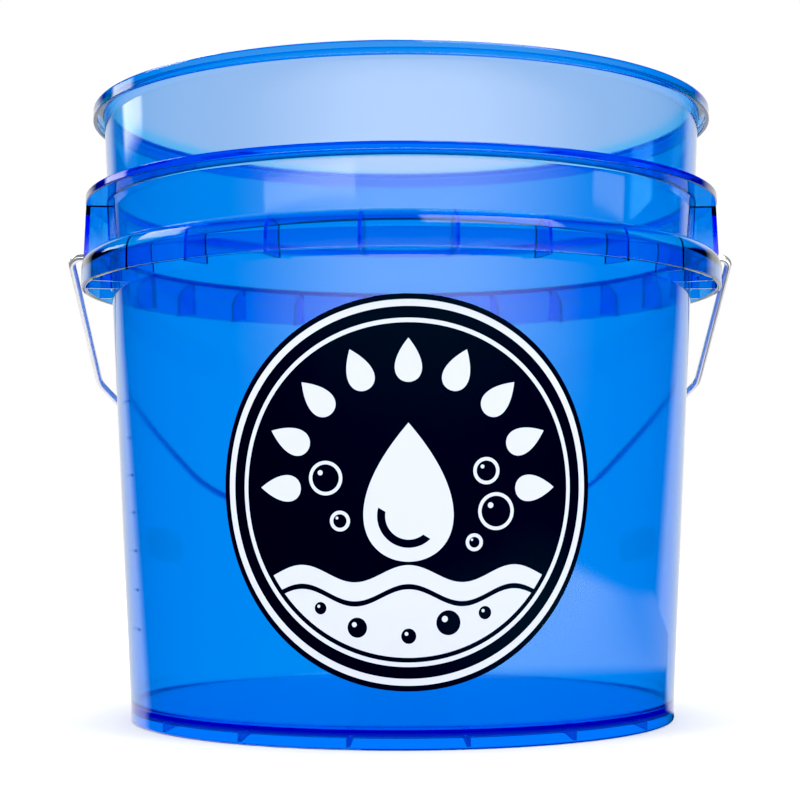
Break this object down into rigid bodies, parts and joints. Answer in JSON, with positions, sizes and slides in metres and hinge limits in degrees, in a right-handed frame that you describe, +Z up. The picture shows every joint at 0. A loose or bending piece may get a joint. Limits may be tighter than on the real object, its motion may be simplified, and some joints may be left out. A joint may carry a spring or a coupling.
{
  "type": "wash bucket",
  "caption": "Round tapered translucent plastic wash bucket with a stepped collar, moulded ears, a swinging wire bail with a spinning grip, and a round front label.",
  "frame": {"origin": "centre of the foot ring, on the plane that the bucket stands on", "axes": "+Z up along the bucket's axis; the round label faces -Y; the bail turns about the X axis direction through the ears on +X and -X; at rest the bail hangs on the +Y side"},
  "size_m": [0.3332, 0.3148, 0.2967],
  "materials": {
    "translucent_blue_plastic": "glossy translucent polypropylene",
    "zinc_plated_wire": "bright zinc-plated drawn wire",
    "black_grip_plastic": "fine-textured moulded plastic",
    "printed_vinyl": "satin printed vinyl"
  },
  "bodies": {
    "bucket": {"bucket_body": "translucent_blue_plastic", "front_label": "printed_vinyl"},
    "bail": {"bail_wire": "zinc_plated_wire"},
    "grip": {"bail_grip": "black_grip_plastic"}
  },
  "joints": [
    {"name": "bail_swing", "type": "hinge", "parent": "bucket", "child": "bail", "pos_m": [0, 0, 0.226], "axis": [1, 0, 0], "range_deg": [0, 266.4]},
    {"name": "grip_spin", "type": "hinge", "parent": "bail", "child": "grip", "pos_m": [0, 0.14677, 0.08721], "axis": [1, 0, 0], "continuous": true}
  ]
}
